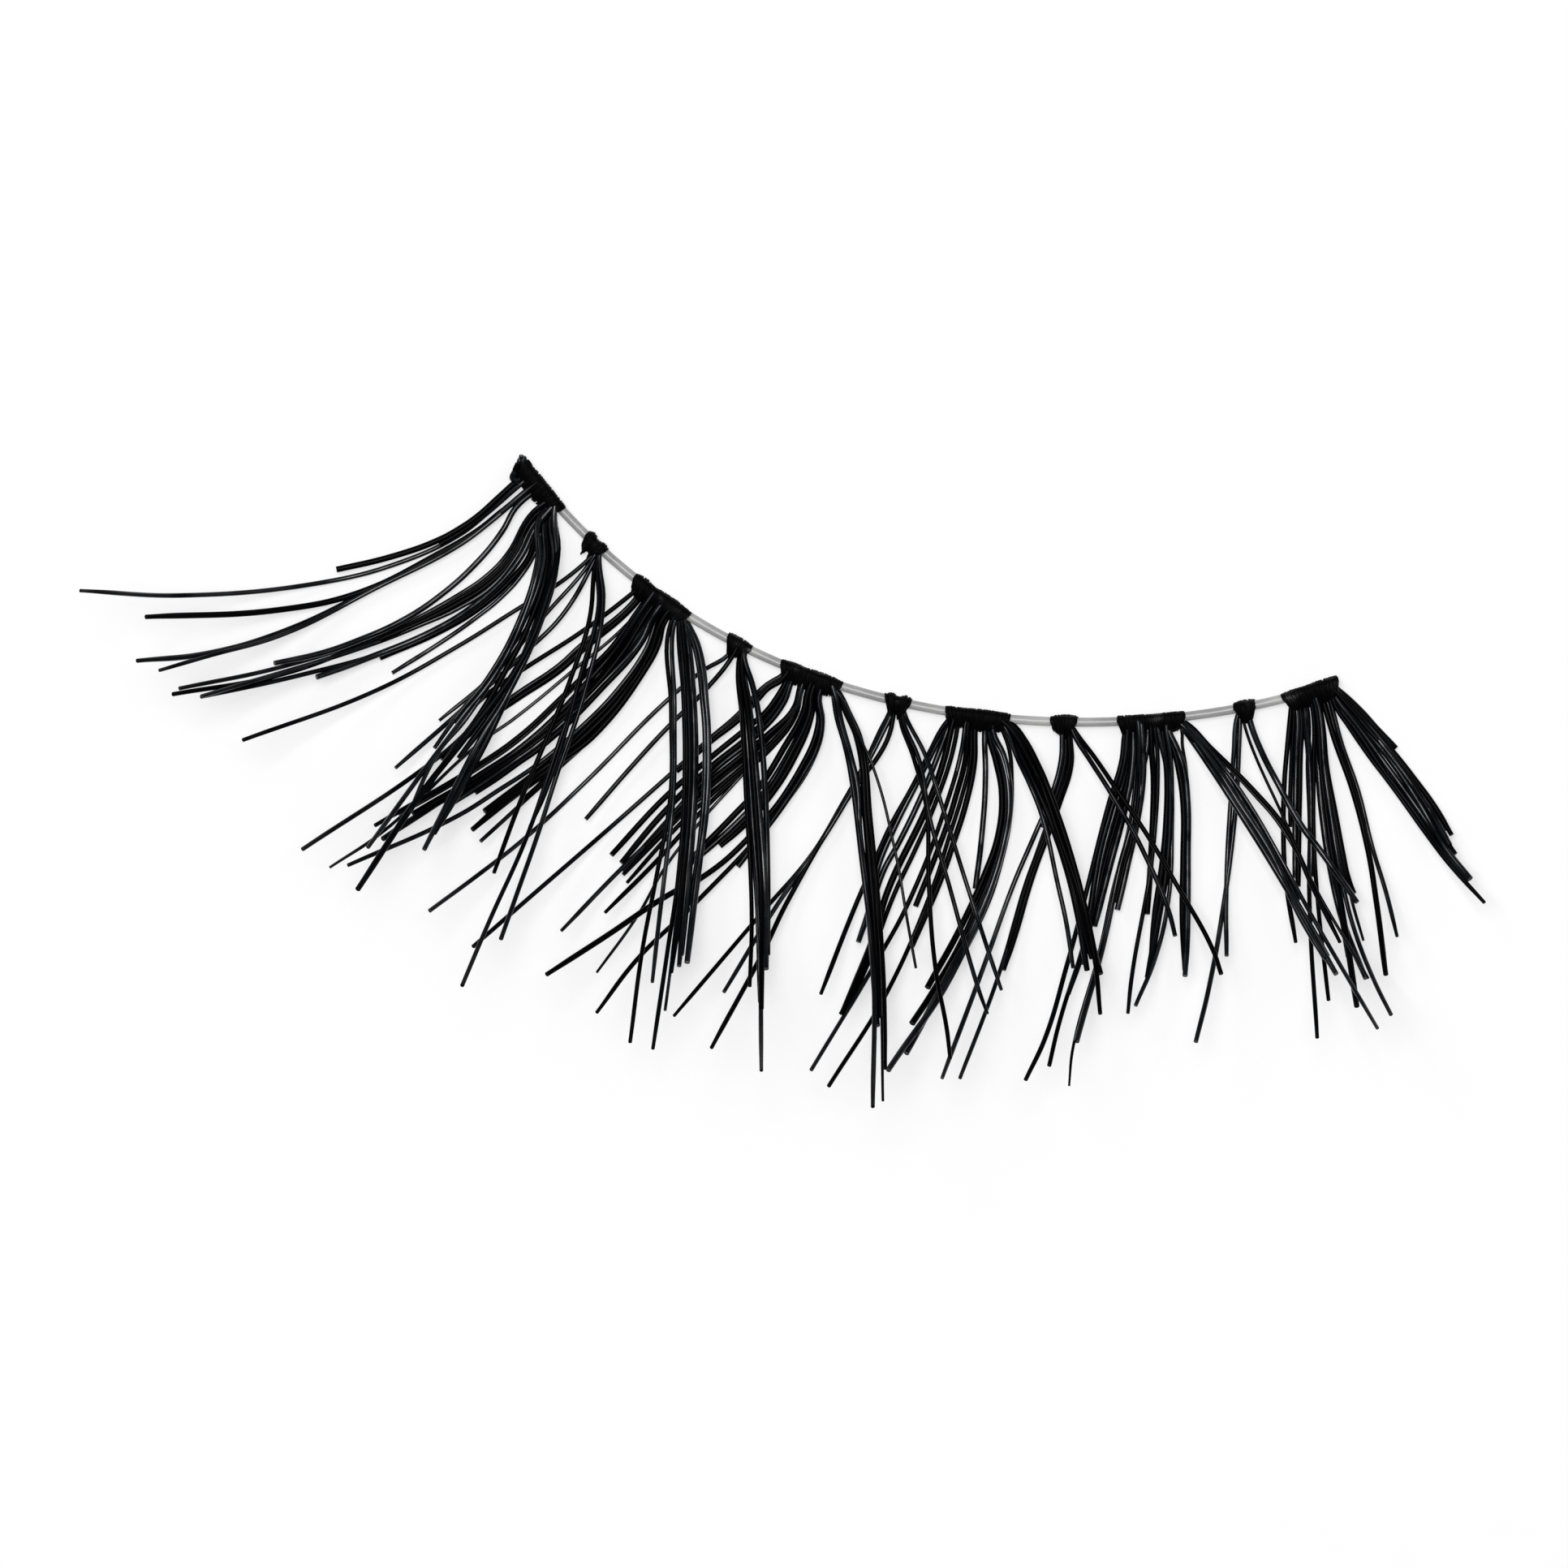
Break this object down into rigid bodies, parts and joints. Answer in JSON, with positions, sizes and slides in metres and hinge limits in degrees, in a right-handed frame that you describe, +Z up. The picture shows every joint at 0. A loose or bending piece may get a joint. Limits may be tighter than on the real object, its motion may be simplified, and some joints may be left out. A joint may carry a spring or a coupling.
{
  "type": "clustered false eyelash strip",
  "caption": "Strip of false eyelashes for one eye: black fibre locks tied in knots along a curved clear band, tips curled up, lying on a surface.",
  "frame": {"origin": "middle of the flat underside of the middle knot, at the middle of the band", "axes": "+X along the band to the inner corner of the eye, -Y the way the fibres hang, +Z up from the surface that the strip lies on"},
  "size_m": [0.0436, 0.0203, 0.0051],
  "materials": {
    "clear_nylon": "clear, smooth",
    "wound_fibre": "black, wound, set with glue",
    "black_fibre": "black, soft sheen"
  },
  "bodies": {
    "root": {"band": "clear_nylon", "knot_01": "wound_fibre", "knot_02": "wound_fibre", "knot_03": "wound_fibre", "knot_04": "wound_fibre", "knot_05": "wound_fibre", "knot_06": "wound_fibre", "knot_07": "wound_fibre", "knot_08": "wound_fibre", "knot_09": "wound_fibre", "knot_10": "wound_fibre", "knot_11": "wound_fibre", "lock_01_sweep": "black_fibre", "lock_01_outer": "black_fibre", "lock_01_drop": "black_fibre", "lock_02_outer": "black_fibre", "lock_02_drop": "black_fibre", "lock_03_outer": "black_fibre", "lock_03_drop": "black_fibre", "lock_04_outer": "black_fibre", "lock_04_drop": "black_fibre", "lock_05_outer": "black_fibre", "lock_05_drop": "black_fibre", "lock_06_outer": "black_fibre", "lock_06_inner": "black_fibre", "lock_07_outer": "black_fibre", "lock_07_curve": "black_fibre", "lock_07_inner": "black_fibre", "lock_08_outer": "black_fibre", "lock_08_inner": "black_fibre", "lock_09_outer": "black_fibre", "lock_09_middle": "black_fibre", "lock_09_straight": "black_fibre", "lock_09_inner": "black_fibre", "lock_10_outer": "black_fibre", "lock_10_inner": "black_fibre", "lock_11_outer": "black_fibre", "lock_11_middle": "black_fibre", "lock_11_inner": "black_fibre", "lock_11_corner": "black_fibre"}
  },
  "joints": []
}
